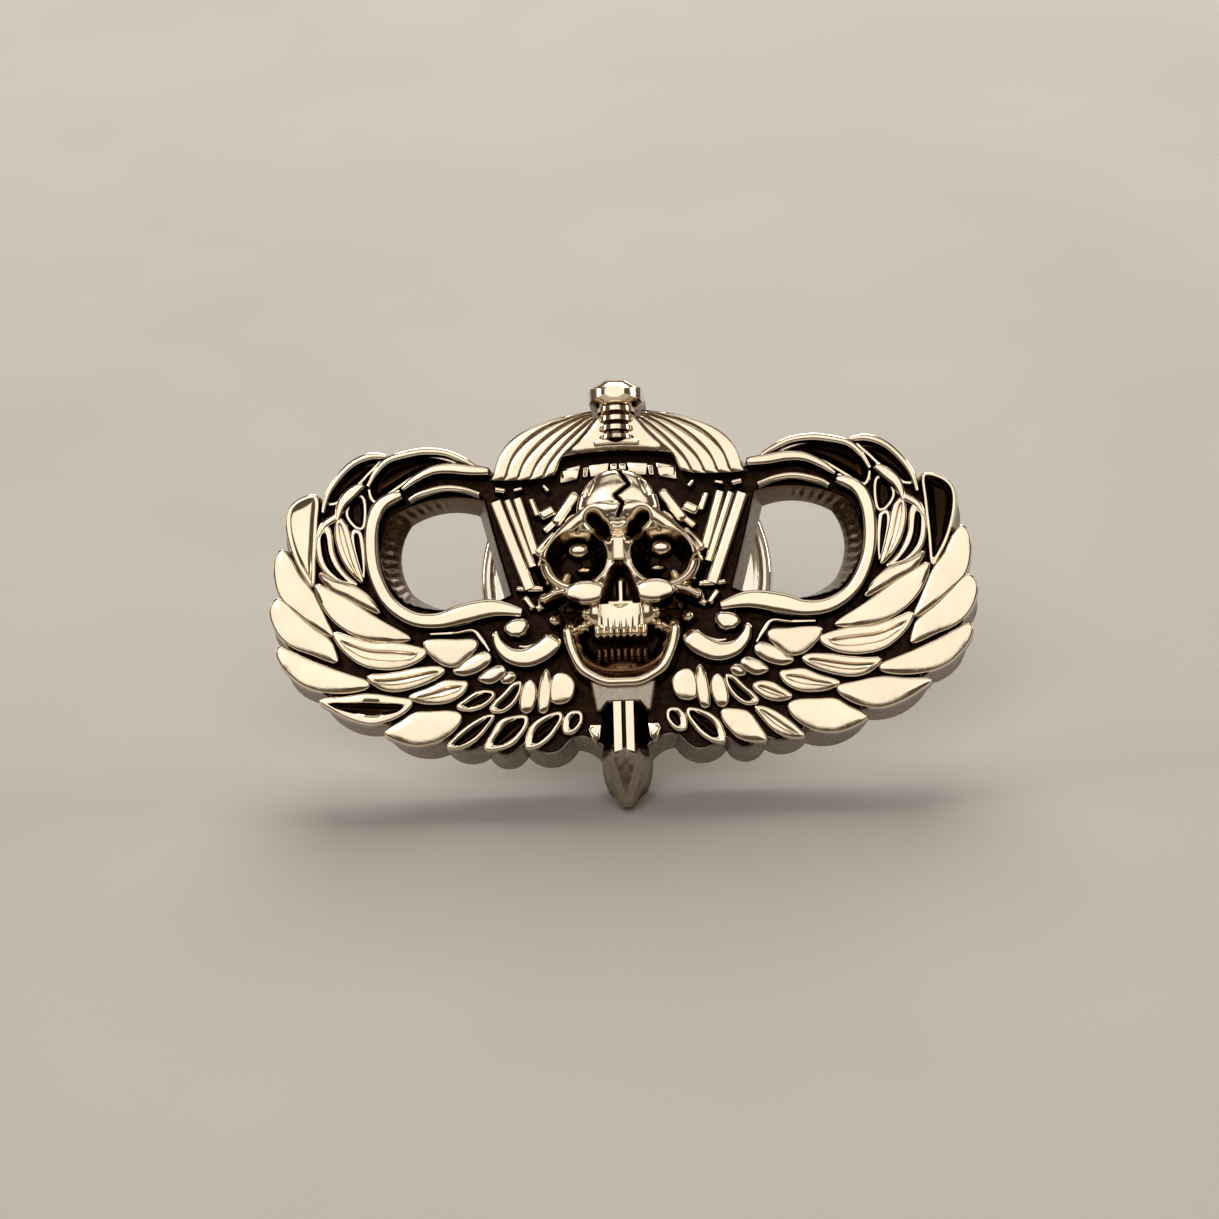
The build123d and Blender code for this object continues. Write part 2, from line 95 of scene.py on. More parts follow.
# Feathers of the right wing: height of the face, form of the face and border points. Where the wings
# differ, the left wing's form comes before the stroke and the right wing's after it.
FEATHERS = [
    (1.72, "dish/bowl", [
        (12.0, 4.28), (12.7, 4.18), (13.15, 3.7), (13.17, 2.9), (12.9, 1.9), (12.5, 1.1),
        (12.17, 0.72), (12.1, 1.9), (12.02, 3.2),
    ]),
    (1.74, "pad", [
        (13.42, 2.15), (13.68, 1.7), (13.62, 0.8), (13.35, 0.17), (12.8, -0.33), (12.1, -0.93),
        (11.42, -1.33), (11.68, -0.7), (12.0, -0.03), (12.27, 0.52), (12.75, 1.15), (13.12, 1.85),
    ]),
    (1.76, "pad", [
        (13.6, 0.18), (13.85, -0.15), (13.78, -0.7), (13.45, -1.3), (12.95, -1.72), (12.2, -2.03),
        (11.3, -2.37), (11.37, -1.85), (11.6, -1.47), (12.2, -1.02), (12.8, -0.47), (13.3, 0.03),
    ]),
    (1.76, "pad", [
        (13.48, -1.75), (13.6, -1.98), (13.4, -2.45), (13.0, -2.9), (12.5, -3.28), (11.8, -3.52),
        (10.9, -3.58), (10.12, -3.45), (10.08, -3.2), (10.8, -2.92), (11.6, -2.62), (12.3, -2.32),
        (13.0, -1.97),
    ]),
    (1.76, "slot/pad", [
        (11.9, -3.88), (11.4, -4.28), (10.7, -4.65), (9.9, -4.86), (9.1, -4.7), (8.5, -4.35),
        (8.35, -4.02), (9.0, -3.88), (10.0, -3.72), (11.0, -3.82),
    ]),
    (1.74, "pad", [
        (9.35, -5.22), (8.9, -5.55), (8.2, -5.75), (7.5, -5.68), (6.9, -5.4), (6.5, -4.98),
        (6.42, -4.65), (6.8, -4.5), (7.6, -4.5), (8.2, -4.52), (8.75, -4.85),
    ]),
    (1.74, "scoop/crease", [
        (6.92, -5.88), (6.4, -5.9), (5.8, -5.6), (5.35, -5.1), (5.12, -4.72), (5.5, -4.76),
        (6.05, -5.05), (6.55, -5.45),
    ]),
    (1.74, "scoop/pad", [
        (5.45, -5.97), (4.9, -6.0), (4.4, -5.82), (4.0, -5.4), (3.8, -5.0), (3.88, -4.77), (4.4, -4.8),
        (4.85, -4.95), (5.15, -5.4),
    ]),
    (1.74, "scoop", [
        (3.85, -5.98), (3.4, -5.95), (2.95, -5.65), (2.68, -5.3), (2.45, -4.9), (2.55, -4.68),
        (3.1, -4.82), (3.55, -5.1), (3.78, -5.5),
    ]),
    (1.7, "scoop", [
        (2.35, -5.45), (1.95, -5.4), (1.68, -5.05), (1.72, -4.7), (2.1, -4.68), (2.36, -5.0),
    ]),
    (1.86, "pad", [
        (12.0, 0.7), (11.92, 0.2), (11.6, -0.4), (11.1, -0.95), (10.4, -1.38), (9.6, -1.6),
        (8.8, -1.65), (8.35, -1.57), (8.65, -1.32), (9.2, -1.0), (10.0, -0.5), (10.7, 0.0),
        (11.4, 0.4),
    ]),
    (1.9, "crease", [
        (11.3, -1.25), (11.15, -1.7), (10.7, -2.2), (10.1, -2.58), (9.3, -2.73), (8.5, -2.65),
        (7.9, -2.37), (7.75, -2.1), (8.1, -1.92), (8.9, -1.76), (9.8, -1.72), (10.5, -1.52),
    ]),
    (1.9, "crease", [
        (10.0, -3.02), (9.7, -3.38), (9.2, -3.58), (8.6, -3.58), (7.9, -3.4), (7.3, -3.15),
        (7.02, -2.88), (7.35, -2.74), (8.0, -2.78), (8.7, -2.9), (9.4, -2.98),
    ]),
    (1.88, "crease", [
        (8.35, -3.85), (8.0, -4.08), (7.4, -4.15), (6.8, -4.08), (6.32, -3.8), (6.12, -3.42),
        (6.45, -3.35), (7.0, -3.32), (7.6, -3.58),
    ]),
    (1.88, "scoop/crease", [
        (6.5, -4.33), (6.1, -4.48), (5.6, -4.38), (5.2, -4.1), (5.07, -3.85), (5.4, -3.75),
        (5.8, -3.82), (6.15, -4.05),
    ]),
    (1.88, "scoop", [
        (5.2, -4.5), (4.8, -4.58), (4.35, -4.3), (4.07, -3.85), (4.03, -3.45), (4.35, -3.55),
        (4.7, -3.9), (5.02, -4.2),
    ]),
    (1.88, "pad", [
        (4.0, -4.5), (3.72, -4.6), (3.5, -4.2), (3.45, -3.7), (3.62, -3.4), (3.85, -3.55),
        (4.0, -4.05),
    ]),
    (1.88, "pad", [
        (3.3, -4.55), (3.03, -4.55), (2.88, -3.95), (2.9, -3.15), (3.08, -3.05), (3.25, -3.7),
    ]),
    (1.92, "pad", [
        (2.78, -4.2), (2.4, -4.3), (2.05, -4.08), (1.95, -3.6), (2.2, -3.25), (2.6, -3.2), (2.8, -3.6),
    ]),
    (1.98, "pad", [
        (7.75, -1.75), (7.55, -2.2), (7.1, -2.6), (6.6, -2.72), (6.1, -2.4), (5.72, -1.98),
        (5.85, -1.74), (6.5, -1.72), (7.2, -1.68),
    ]),
    (1.98, "pad", [
        (6.6, -2.95), (6.2, -3.08), (5.7, -2.95), (5.3, -2.68), (5.17, -2.4), (5.42, -2.25),
        (5.9, -2.42), (6.35, -2.72),
    ]),
    (1.98, "pad", [
        (5.6, -3.3), (5.2, -3.43), (4.87, -3.28), (4.62, -2.98), (4.78, -2.8), (5.15, -2.9),
        (5.45, -3.08),
    ]),
    (1.96, "pad", [
        (4.73, -3.4), (4.45, -3.43), (4.22, -3.2), (4.4, -3.05), (4.62, -3.15),
    ]),
    (1.84, "pad", [
        (11.88, 1.15), (11.45, 0.52), (10.8, 0.18), (10.2, -0.17), (9.55, -0.48), (9.8, 0.02),
        (10.3, 0.45), (10.8, 0.7), (11.35, 0.9),
    ]),
    (1.84, "slot", [
        (11.92, 2.75), (11.97, 2.0), (11.75, 1.35), (11.2, 0.86), (10.45, 0.66), (10.75, 0.95),
        (11.1, 1.4), (11.35, 2.0), (11.45, 2.8), (11.65, 3.1),
    ]),
    (1.84, "crease", [
        (11.15, 3.35), (11.22, 2.6), (11.0, 1.8), (10.6, 1.15), (10.2, 0.8), (10.38, 1.4), (10.6, 2.2),
        (10.8, 3.0),
    ]),
    (1.8, "slot", [
        (10.55, 2.85), (10.62, 2.3), (10.4, 1.5), (10.15, 0.95), (10.1, 1.8), (10.22, 2.7),
    ]),
    (1.62, "bowl", [
        (9.95, 4.5), (9.7, 5.0), (9.2, 5.5), (8.4, 5.78), (7.3, 5.8), (6.3, 5.45), (7.2, 5.33),
        (8.1, 4.95), (8.8, 4.5), (9.4, 4.1), (9.75, 4.0),
    ]),
    (1.6, "bowl", [
        (11.7, 4.05), (11.35, 4.75), (10.8, 5.35), (10.1, 5.72), (9.4, 5.72), (9.95, 5.1),
        (10.3, 4.75), (10.8, 4.45), (11.2, 4.0),
    ]),
    (1.56, "bowl", [
        (10.75, 4.0), (10.85, 3.5), (10.5, 3.0), (10.15, 3.0), (10.05, 3.7), (10.15, 4.25),
        (10.45, 4.3),
    ]),
]

# The small wedge between the blade and the innermost feather.
BLADE_BEAD = [(0.95, -5.25), (1.3, -5.25), (1.36, -5.4), (1.2, -5.8), (1.12, -5.85), (1.02, -5.7)]

# Curved bands of the right wing: height of the crest, widths along it and points along its middle.
BANDS = [
    (2.12, [0.3, 0.7, 0.8, 0.64, 0.58, 0.54, 0.5, 0.5, 0.52, 0.52, 0.34], [
        (3.75, -0.75), (5.0, -0.5), (6.2, -0.68), (7.2, -0.92), (8.2, -0.8), (9.1, -0.15), (9.65, 0.9),
        (9.83, 2.0), (9.75, 3.1), (9.35, 3.85), (8.5, 4.25),
    ]),
    (1.95, [0.14, 0.24, 0.26, 0.24, 0.16], [
        (8.35, 3.95), (7.9, 4.2), (7.0, 4.42), (6.2, 4.36), (5.4, 4.1),
    ]),
    (2.08, [0.16, 0.32, 0.38, 0.44, 0.44, 0.34], [
        (8.6, 4.35), (8.1, 4.75), (7.4, 5.1), (6.7, 5.18), (5.9, 5.08), (5.0, 5.0),
    ]),
    (2.0, [0.16, 0.24, 0.28, 0.3, 0.3, 0.28, 0.26, 0.16], [
        (9.95, 4.5), (9.6, 5.15), (9.1, 5.62), (8.3, 5.84), (7.6, 5.92), (6.8, 5.82), (6.1, 5.5),
        (5.6, 5.2),
    ]),
    (1.94, [0.14, 0.24, 0.26, 0.28, 0.3, 0.2], [
        (11.75, 3.5), (11.55, 4.3), (11.1, 5.0), (10.5, 5.56), (9.8, 5.82), (9.1, 5.76),
    ]),
    (1.9, [0.16, 0.4, 0.5, 0.26], [
        (11.2, 3.2), (11.0, 3.9), (10.6, 4.35), (10.05, 4.75),
    ]),
    (1.86, [0.16, 0.32, 0.32, 0.16], [
        (12.0, 2.55), (11.7, 3.1), (11.2, 3.45), (10.9, 3.9),
    ]),
    (1.6, [0.12, 0.18, 0.22, 0.26, 0.14], [
        (7.7, -1.38), (6.6, -1.36), (5.9, -1.28), (5.55, -1.65), (5.2, -2.2),
    ]),
    (2.15, [0.22, 0.44, 0.62, 0.78, 0.84, 0.8, 0.5], [
        (4.98, -1.4), (4.82, -1.95), (4.4, -2.4), (3.75, -2.52), (3.15, -2.28), (2.75, -1.95),
        (2.5, -1.62),
    ]),
    (1.98, [0.36, 0.7, 0.78, 0.46], [
        (4.6, -1.62), (4.3, -1.35), (3.95, -1.3), (3.6, -1.45),
    ]),
    (1.7, [0.1, 0.16, 0.1], [
        (4.1, -2.0), (3.7, -2.02), (3.25, -1.85),
    ]),
]

# Straight suspension lines of the right half with their little links: ends, width, crest height.
LINES = [
    ((4.96, 4.05), (3.5, 0.0), 0.5, 1.84),
    ((4.48, 4.05), (3.4, 0.95), 0.34, 1.76),
    ((4.06, 4.05), (3.3, 1.5), 0.42, 1.84),
    ((3.36, 1.52), (2.42, 2.48), 0.44, 1.86),
    ((3.5, 3.95), (3.2, 3.1), 0.26, 1.8),
    ((3.2, 3.1), (2.45, 3.47), 0.42, 1.84),
    ((3.05, 2.5), (2.3, 3.15), 0.3, 1.74),
    ((2.62, 2.72), (1.6, 4.15), 0.44, 1.8),
    ((3.85, 0.0), (3.4, -0.62), 0.26, 1.84),
    ((3.4, -0.62), (2.75, -0.2), 0.26, 1.84),
    ((4.2, 0.28), (3.0, 0.25), 0.24, 1.78),
    ((4.95, 4.32), (4.4, 4.2), 0.24, 1.9),
    ((4.2, 4.24), (3.75, 4.32), 0.16, 1.8),
    ((3.0, 4.45), (2.72, 4.1), 0.2, 1.8),
]

# Seams between the canopy's gores on the right half, from the crown over the side to the hem.
GORE_SEAMS = [
    [(1.0, 7.27), (2.4, 7.02), (3.8, 6.5), (4.62, 5.7), (5.0, 4.6)],
    [(1.0, 7.2), (2.1, 6.92), (3.3, 6.35), (4.1, 5.55), (4.5, 4.56)],
    [(0.97, 7.12), (1.85, 6.82), (2.85, 6.2), (3.62, 5.4), (4.0, 4.56)],
    [(0.95, 7.05), (1.6, 6.7), (2.42, 6.05), (3.12, 5.3), (3.5, 4.56)],
    [(0.9, 6.95), (1.4, 6.55), (2.05, 5.95), (2.65, 5.25), (3.0, 4.6)],
    [(0.85, 6.85), (1.2, 6.4), (1.7, 5.87), (2.2, 5.35), (2.52, 4.72)],
]

# Rings of a raised pad from its foot to the middle of its face: inset from the border (mm), share of the
# way to the spine, drop below the face (mm).
PAD_EDGE = [(-0.08, 0, 0.15), (-0.065, 0, 0.05), (-0.03, 0, 0.01), (0.02, 0, 0.0)]
PAD_FORMS = {
    "pad": PAD_EDGE + [(0.02, 0.3, -0.016), (0.02, 0.6, -0.027), (0.02, 0.88, -0.032)],
    "dish": PAD_EDGE + [(0.1, 0, 0.0), (0.13, 0.05, 0.03), (0.13, 0.4, 0.08), (0.13, 0.88, 0.1)],
    "crease": PAD_EDGE + [(0.02, 0.5, -0.01), (0.02, 0.58, 0.02), (0.02, 0.66, 0.08), (0.02, 0.9, 0.1)],
    "slot": PAD_EDGE + [(0.02, 0.45, -0.005), (0.02, 0.54, 0.03), (0.02, 0.62, 0.22), (0.02, 0.9, 0.3)],
    "scoop": PAD_EDGE + [(0.02, 0.2, 0.0), (0.02, 0.38, 0.04), (0.02, 0.47, 0.3), (0.02, 0.85, 0.4)],
    "gore": [
        (0.0, 0, 0.2), (0.01, 0, 0.05), (0.025, 0, 0.012), (0.05, 0, 0.0), (0.05, 0.5, -0.012),
        (0.05, 0.88, -0.016),
    ],
    "bowl": [
        (-0.06, 0, 0.14), (-0.04, 0, 0.04), (0.0, 0, 0.0), (0.08, 0, 0.0), (0.12, 0, 0.06), (0.15, 0, 0.2),
        (0.15, 0.4, 0.33), (0.15, 0.9, 0.36),
    ],
}


# ---------------------------------------------------------------- small geometry helpers


def spot(x, z, h):
    """The place in the shared frame of a point given in the badge's own millimetres."""
    return Vector((x * MM, BACK_Y - h * MM, MIDDLE_Z + z * MM))


def arc(start, middle, end, steps):
    """Points on the circle arc through three points, both ends included."""
    a, b, c = (np.array(p, float) for p in (start, middle, end))
    d = 2 * (a[0] * (b[1] - c[1]) + b[0] * (c[1] - a[1]) + c[0] * (a[1] - b[1]))
    if abs(d) < 1e-6:
        return [a + (c - a) * i / steps for i in range(steps + 1)]
    sq = [p @ p for p in (a, b, c)]
    centre = np.array([
        (sq[0] * (b[1] - c[1]) + sq[1] * (c[1] - a[1]) + sq[2] * (a[1] - b[1])) / d,
        (sq[0] * (c[0] - b[0]) + sq[1] * (a[0] - c[0]) + sq[2] * (b[0] - a[0])) / d,
    ])
    turns = [math.atan2(*(p - centre)[::-1]) for p in (a, b, c)]
    first = (turns[1] - turns[0]) % math.tau
    whole = (turns[2] - turns[0]) % math.tau
    if first > whole:
        whole -= math.tau
    radius = np.linalg.norm(a - centre)
    angles = [turns[0] + whole * i / steps for i in range(steps + 1)]
    return [centre + radius * np.array([math.cos(t), math.sin(t)]) for t in angles]


def chain(arcs, steps):
    """Points along arcs that follow each other, without the last arc's end."""
    points = []
    for three in arcs:
        points += arc(*three, steps)[:-1]
    return points


def catmull_rom(a, b, c, d, t):
    """The point at share t of the way from b to c on a smooth curve through a, b, c and d."""
    bend = 2 * a - 5 * b + 4 * c - d
    twist = 3 * b - a - 3 * c + d
    return 0.5 * (2 * b + (c - a) * t + bend * t**2 + twist * t**3)


def smooth_line(points, values, steps):
    """A Catmull-Rom line through the points, with a value such as a width carried along it."""
    rows = np.array([[*p, v] for p, v in zip(points, values)], float)
    rows = np.vstack([2 * rows[0] - rows[1], rows, 2 * rows[-1] - rows[-2]])
    out = []
    for i in range(1, len(rows) - 2):
        a, b, c, d = rows[i - 1 : i + 3]
        out += [catmull_rom(a, b, c, d, k / steps) for k in range(steps)]
    out.append(rows[-2])
    return np.array(out)


def outward(points):
    """Each point of a closed border with its outward direction."""
    pts = np.array(points, float)
    following = np.roll(pts, -1, 0)
    area = 0.5 * np.sum(pts[:, 0] * following[:, 1] - following[:, 0] * pts[:, 1])
    edge = following - pts
    edge /= np.linalg.norm(edge, axis=1)[:, None] + 1e-12
    side = np.stack([edge[:, 1], -edge[:, 0]], 1) * (1 if area > 0 else -1)
    found = []
    for i in range(len(pts)):
        both = side[i - 1] + side[i]
        found.append((pts[i], both / (np.linalg.norm(both) + 1e-9)))
    return found


class Shell:
    """Collects vertices and faces of one piece, with a painted-shade value from 0, bright, to 1, black:
    darkening painted where shade falls.
    """

    def __init__(self):
        self.verts, self.faces, self.tarnish, self.looks = [], [], [], []

    def ring(self, points, tarnish=0.0):
        """Adds vertices and gives back their numbers. The painted shade is one value or one for each point.
        """
        start = len(self.verts)
        self.verts += [Vector(p) for p in points]
        self.tarnish += list(tarnish) if hasattr(tarnish, "__len__") else [tarnish] * len(points)
        return list(range(start, start + len(points)))

    def face(self, corners, look=0):
        """Adds a face, with the number of its material."""
        self.faces.append(tuple(corners))
        self.looks.append(look)

    def bridge(self, low, high, look=0):
        """A closed strip of faces between two rings."""
        for i in range(len(low)):
            j = (i + 1) % len(low)
            self.face((low[i], low[j], high[j], high[i]), look)

    def tube(self, rings, look=0):
        """Bridges the rings in turn and closes the first and the last."""
        for low, high in zip(rings, rings[1:]):
            self.bridge(low, high, look=look)
        self.face(rings[0], look)
        self.face(rings[-1], look)

    def piece(self, name, body, slot, materials, sharp=38, merge=0.0015):
        """Makes the object, crisp at edges over sharp degrees, its vertices merged within merge mm."""
        mesh = bpy.data.meshes.new(name)
        mesh.from_pydata([tuple(v) for v in self.verts], [], self.faces)
        mesh.polygons.foreach_set("material_index", self.looks)
        # the painted-shade value goes on the mesh for the materials to darken by
        mesh.attributes.new("tarnish", "FLOAT", "POINT").data.foreach_set("value", self.tarnish)
        bm = bmesh.new()
        bm.from_mesh(mesh)
        bmesh.ops.remove_doubles(bm, verts=bm.verts, dist=merge * MM)
        bmesh.ops.dissolve_degenerate(bm, edges=bm.edges, dist=merge * MM * 0.5)
        bmesh.ops.recalc_face_normals(bm, faces=bm.faces)
        bm.to_mesh(mesh)
        bm.free()
        mesh.shade_smooth()
        mesh.set_sharp_from_angle(angle=math.radians(sharp))
        made = bpy.data.objects.new(name, mesh)
        bpy.context.scene.collection.objects.link(made)
        for material in materials:
            mesh.materials.append(material)
        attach(made, body)
        return made


def closed_curve(points, steps):
    """A smooth closed Catmull-Rom curve through the points."""
    pts = np.array(points, float)
    count = len(pts)
    out = []
    for i in range(count):
        a, b, c, d = (pts[(i + k) % count] for k in (-1, 0, 1, 2))
        out += [catmull_rom(a, b, c, d, k / steps) for k in range(steps)]
    return np.array(out)


# How far a scoop's hollow is moved towards the badge's middle and up.
HOLLOW_SHIFT = np.array((-0.1, 0.03))


def pad(shell, border, top, form, base=FOOT_H, grow=0.13, mirror=False):
    """A raised island inside a closed border, domed or hollowed towards a spine on its long axis."""
    border = np.array(border, float)
    if mirror:
        border = border * (-1, 1)
    marks = outward(border)
    centre = border.mean(0)
    spread = np.cov((border - centre).T)
    values, vectors = np.linalg.eigh(spread)
    long_axis = vectors[:, 1]
    along = (border - centre) @ long_axis
    across = (border - centre) @ vectors[:, 0]
    reach = max(0.0, (along.max() - along.min()) / 2 - (across.max() - across.min()) / 2)
    middle = (along.max() + along.min()) / 2
    # the spine follows the border's own bend: the mean of both sides at each place along it
    stations = np.linspace(middle - reach, middle + reach, 9)
    window = max(reach / 4, 0.08)
    lean = []
    for place in stations:
        near = abs(along - place) < window
        lean.append((across[near].max() + across[near].min()) / 2 if near.any() else 0.0)
    lean = np.convolve(np.pad(lean, 1, mode="edge"), [0.25, 0.5, 0.25], mode="valid")

    def on_spine(point):
        place = float(np.clip((point - centre) @ long_axis, middle - reach, middle + reach))
        return centre + long_axis * place + vectors[:, 0] * float(np.interp(place, stations, lean))

    shift = HOLLOW_SHIFT * ((-1, 1) if mirror else (1, 1)) * (form == "scoop")

    def at(inset, share, h):
        made = []
        for p, n in marks:
            q = p - n * inset
            q = q + (on_spine(q) - q) * share + shift * (share > 0.3)
            made.append(spot(q[0], q[1], h))
        return made

    # Painted shade: the foot ring is painted black, and the face darkens with its depth below the top, in
    # hollows and slots where shade falls.
    rings = [shell.ring(at(-grow, 0, base), 1.0)]
    for inset, share, drop in PAD_FORMS[form]:
        rings.append(shell.ring(at(inset, share, top - drop), min(1.0, max(0.0, (drop - 0.11) / 0.12))))
    shell.tube(rings)


def band(shell, points, widths, crest, mirror=False, base=FOOT_H, steps=8):
    """A raised band along a smooth line: nearly flat top, soft edges, steep sides, rounded ends."""
    line = smooth_line(points, widths, steps)
    if mirror:
        line = line * (-1, 1, 1)
    xy, width = line[:, :2], line[:, 2]
    along = np.gradient(xy, axis=0)
    along /= np.linalg.norm(along, axis=1)[:, None] + 1e-12
    side = np.stack([-along[:, 1], along[:, 0]], 1)
    walk = np.concatenate([[0], np.cumsum(np.linalg.norm(np.diff(xy, axis=0), axis=1))])
    rows = []
    for i in range(len(xy)):
        half = width[i] / 2
        near = min(walk[i], walk[-1] - walk[i])
        if near < half:
            half *= math.sqrt(max(0.0, 1 - (1 - near / half) ** 2))
        rise = min(1.0, 0.35 + 0.65 * half / (width[i] / 2))
        high = base + (crest - base) * rise
        soft = min(0.4, 0.07 * rise / max(half, 0.01))
        # each corner of the section: share of the half width, extra width, height, painted shade (black at
        # the foot, dark on the steep side, none on the top)
        right = [
            (1, 0.08, base, 1.0),
            (1, 0.0, high - 0.13, 0.75),
            (1 - 0.3 * soft, 0.0, high - 0.035, 0.1),
            (1 - soft, 0.0, high - 0.004, 0.0),
            (0.4, 0.0, high + 0.01, 0.0),
        ]
        across = right + [(-share, -extra, h, painted_dark) for share, extra, h, painted_dark in reversed(right)]
        places = [spot(*(xy[i] + side[i] * (share * half + extra)), h) for share, extra, h, _ in across]
        rows.append(shell.ring(places, [painted_dark for *_, painted_dark in across]))
    shell.tube(rows)


# ---------------------------------------------------------------- materials


def node(tree, kind, **values):
    """A new shader node with some of its settings."""
    made = tree.nodes.new(kind)
    for key, value in values.items():
        setattr(made, key, value)
    return made


# Colours of the painted shade, from brown in shallow hollows to black at the feet and in deep hollows.
PAINTED_SHADE_BROWN = (0.2, 0.125, 0.08)
PAINTED_SHADE_BLACK = (0.02, 0.011, 0.006)


def ramp_node(tree, stops):
    """A colour ramp with the given (position, colour) stops."""
    made = node(tree, "ShaderNodeValToRGB")
    ramp = made.color_ramp
    while len(ramp.elements) < len(stops):
        ramp.elements.new(0.5)
    for element, (position, colour) in zip(ramp.elements, stops):
        element.position = position
        element.color = (*colour, 1)
    return made


def metal(name, bright, rough=0.12, grain=1.0, tarnished=False):
    """Polished plating with faint wear, darkened by the mesh's painted-shade value if tarnished is set:
    shade painted into hollows, creases and feet.
    """
    material = bpy.data.materials.new(name)
    material.use_nodes = True
    tree = material.node_tree
    shader = tree.nodes["Principled BSDF"]
    shader.inputs["Metallic"].default_value = 1.0
    place = node(tree, "ShaderNodeTexCoord").outputs["Object"]
    fine = node(tree, "ShaderNodeTexNoise")
    fine.inputs["Scale"].default_value = 5200
    fine.inputs["Detail"].default_value = 5
    fine.inputs["Roughness"].default_value = 0.62
    tree.links.new(place, fine.inputs["Vector"])
    broad = node(tree, "ShaderNodeTexNoise")
    broad.inputs["Scale"].default_value = 700
    broad.inputs["Detail"].default_value = 4
    tree.links.new(place, broad.inputs["Vector"])

    tone = ramp_node(tree, [(0.3, [c * 0.88 for c in bright]), (0.7, bright)])
    tree.links.new(broad.outputs["Fac"], tone.inputs["Fac"])
    colour = tone.outputs["Color"]
    if tarnished:
        # painted shade: the mesh's painted-shade value, roughened by fine noise, darkens the colour through
        # brown to black
        painted_dark = node(tree, "ShaderNodeAttribute", attribute_name="tarnish")
        patchy = node(tree, "ShaderNodeMath", operation="MULTIPLY_ADD")
        patchy.inputs[1].default_value = 0.3
        tree.links.new(fine.outputs["Fac"], patchy.inputs[0])
        tree.links.new(painted_dark.outputs["Fac"], patchy.inputs[2])
        painted_darkening = ramp_node(tree, [(0.2, (1, 1, 1)), (0.62, PAINTED_SHADE_BROWN), (0.95, PAINTED_SHADE_BLACK)])
        tree.links.new(patchy.outputs["Value"], painted_darkening.inputs["Fac"])
        mix = node(tree, "ShaderNodeMix", data_type="RGBA", blend_type="MULTIPLY")
        mix.inputs["Factor"].default_value = 1.0
        tree.links.new(colour, mix.inputs["A"])
        tree.links.new(painted_darkening.outputs["Color"], mix.inputs["B"])
        colour = mix.outputs["Result"]
    tree.links.new(colour, shader.inputs["Base Color"])

    gloss = node(tree, "ShaderNodeMapRange")
    gloss.inputs["From Min"].default_value = 0.3
    gloss.inputs["From Max"].default_value = 0.75
    gloss.inputs["To Min"].default_value = rough * 0.6
    gloss.inputs["To Max"].default_value = rough * 1.7
    tree.links.new(fine.outputs["Fac"], gloss.inputs["Value"])
    tree.links.new(gloss.outputs["Result"], shader.inputs["Roughness"])

    bump = node(tree, "ShaderNodeBump")
    bump.inputs["Strength"].default_value = 0.1 * grain
    bump.inputs["Distance"].default_value = 0.01 * MM
    tree.links.new(fine.outputs["Fac"], bump.inputs["Height"])
    tree.links.new(bump.outputs["Normal"], shader.inputs["Normal"])
    return material


CHAMPAGNE = (0.95, 0.82, 0.63)
NICKEL = (0.86, 0.8, 0.7)
relief_metal = metal("relief_metal", CHAMPAGNE, tarnished=True)
# Darker copies of the plating, for painted shade: the ground under the relief nearly black, the outer wall
# and the openings' walls dark brown.
ground_painted_shade = metal("ground_painted_shade", (0.025, 0.013, 0.008), rough=0.42, grain=4)
wall_painted_shade = metal("wall_painted_shade", (0.27, 0.22, 0.18), rough=0.3, grain=5)
opening_painted_shade = metal("opening_painted_shade", (0.14, 0.09, 0.055), rough=0.18, grain=3)
back_metal = metal("back_metal", (0.66, 0.59, 0.5), rough=0.34, grain=2.2)
skull_metal = metal("skull_metal", CHAMPAGNE, rough=0.14, tarnished=True)
dagger_metal = metal("dagger_metal", CHAMPAGNE, rough=0.12, tarnished=True)
steel_metal = metal("steel_metal", (0.4, 0.34, 0.28), rough=0.28, grain=4)
clutch_metal = metal("clutch_metal", NICKEL, rough=0.1, grain=0.8)
lever_metal = metal("lever_metal", (0.84, 0.78, 0.69), rough=0.16, grain=1.2)
post_metal = metal("post_metal", (0.8, 0.74, 0.66), rough=0.2, grain=1.5)
braze_metal = metal("braze_metal", (0.66, 0.53, 0.36), rough=0.4, grain=6)
spring_metal = metal("spring_metal", (0.52, 0.5, 0.48), rough=0.25, grain=1.5)


# ---------------------------------------------------------------- the casting


# Rings of the casting's outer wall from the back to the ground: inset from the outline and height.
WALL_RINGS = [
    (0.05, 0.0), (0.0, 0.06), (0.13, 0.5), (0.27, 1.05), (0.34, WALL_TOP_H - 0.03), (0.4, WALL_TOP_H),
    (0.46, WALL_TOP_H - 0.02), (0.52, FLOOR_H),
]
# Rings of an opening's wall: share of the way from its back edge to its front edge, height, flute.
OPENING_RINGS = [
    (0.0, 0.0, 0), (0.02, 0.08, 0), (0.3, 0.45, 0.5), (0.5, 0.75, 1), (0.75, 1.08, 1),
    (0.93, WALL_TOP_H + 0.02, 0), (1.0, WALL_TOP_H + 0.06, 0),
]
# How far from the badge's middle line the flutes start. They are full a millimetre further out.
FLUTES_START_X = 6.2


